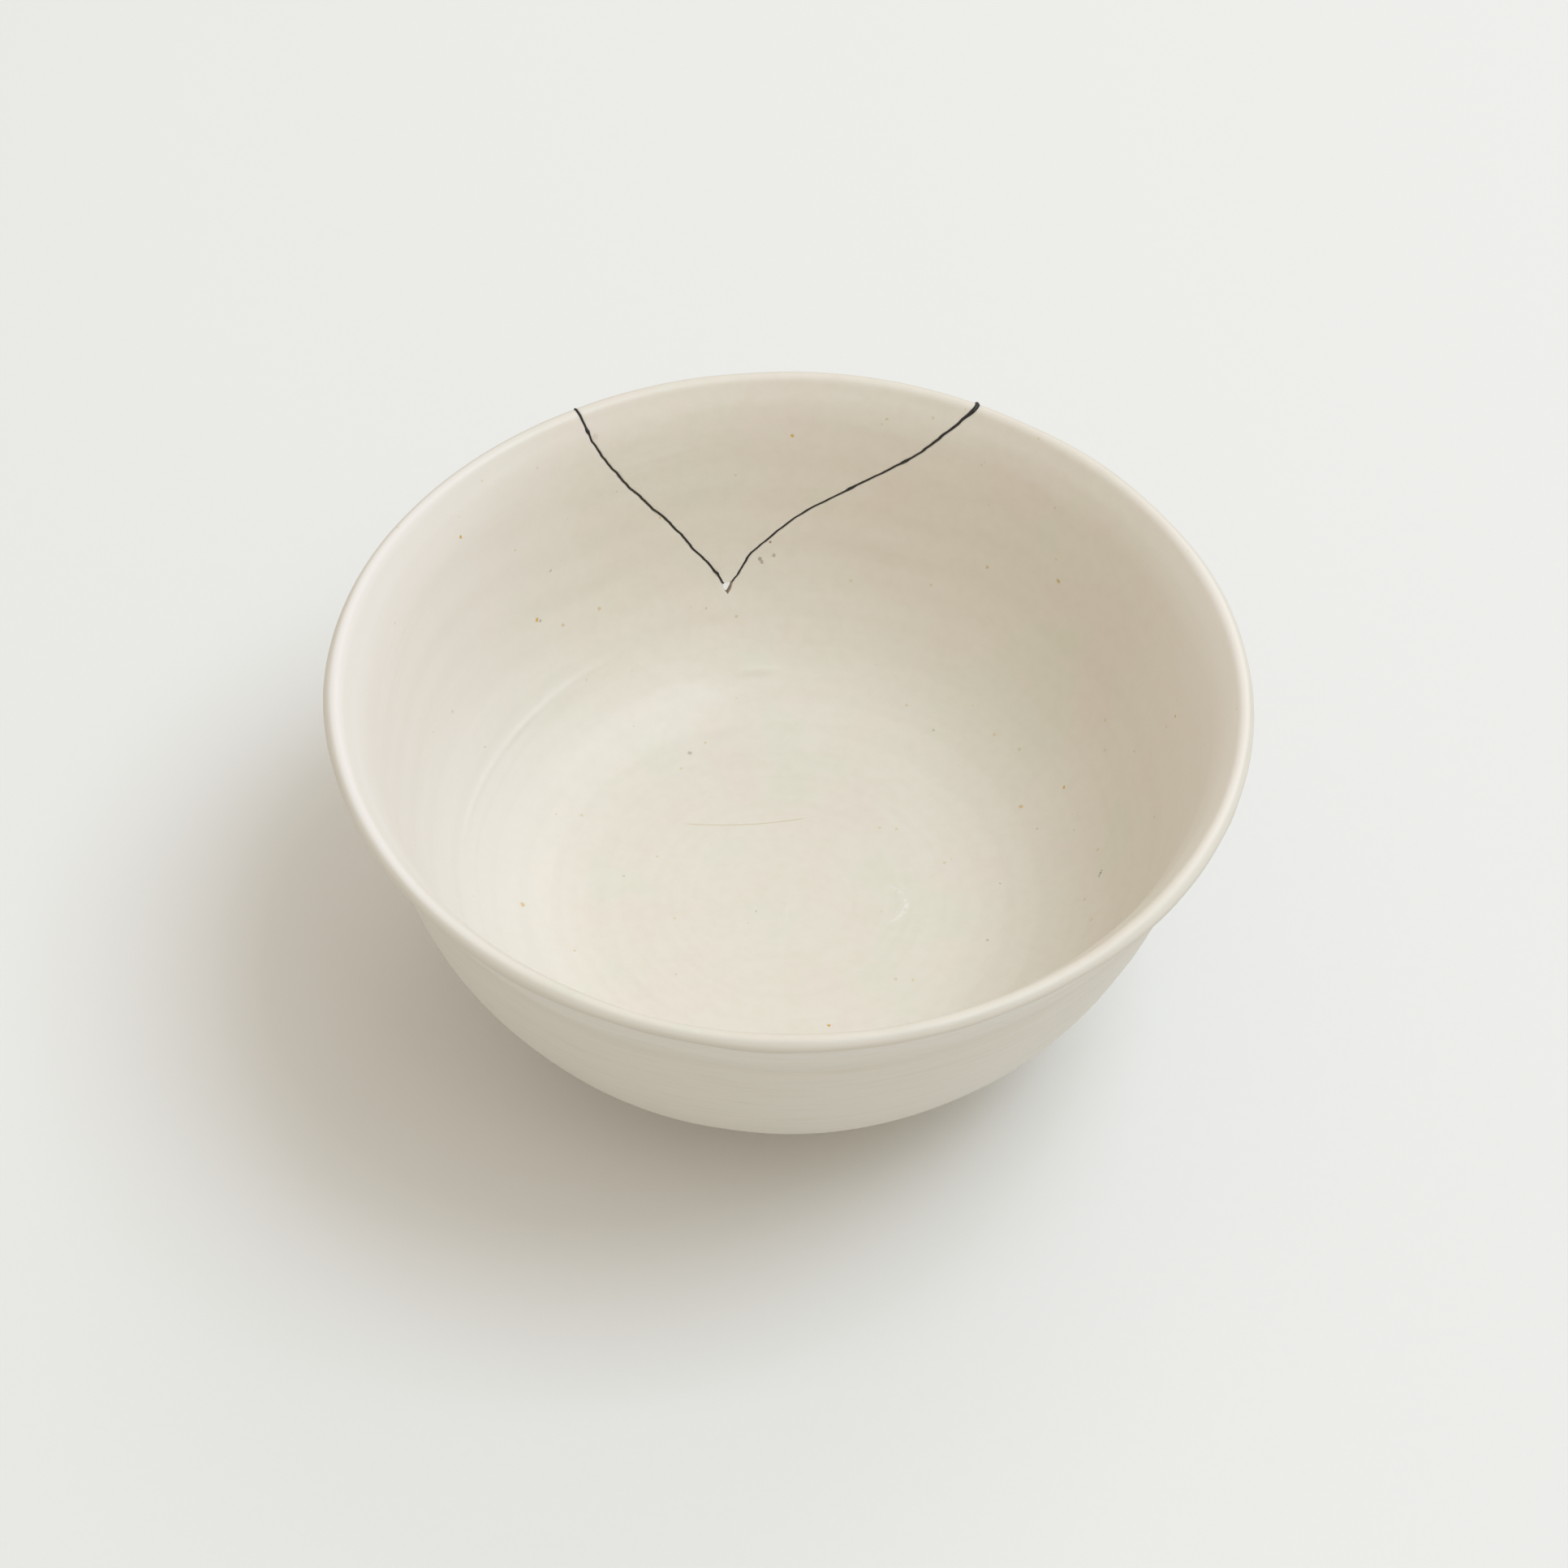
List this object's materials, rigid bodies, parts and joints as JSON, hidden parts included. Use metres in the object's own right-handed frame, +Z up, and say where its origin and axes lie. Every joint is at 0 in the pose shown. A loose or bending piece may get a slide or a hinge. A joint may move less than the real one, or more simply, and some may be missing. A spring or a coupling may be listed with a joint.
{
  "type": "cracked bowl",
  "caption": "Thrown white porcelain bowl with a rolled lip and a turned foot ring; a wedge-shaped rim sherd is glued back in with dark glue, its lost point leaving a small hole.",
  "frame": {"origin": "middle of the underside of the foot ring, on the surface that the bowl stands on", "axes": "+Z up out of the bowl's mouth, +Y towards the mended sherd at the back of the rim, +X to the right of somebody looking towards the sherd"},
  "size_m": [0.16, 0.16, 0.0721],
  "materials": {
    "glaze": "satin, warm white, with fine throwing rings and a few iron specks",
    "mending_glue": "dried black glue, satin"
  },
  "bodies": {
    "root": {"bowl_body": "glaze", "rim_shard": "glaze", "mend_seam_left": "mending_glue", "mend_seam_right": "mending_glue"}
  },
  "joints": []
}
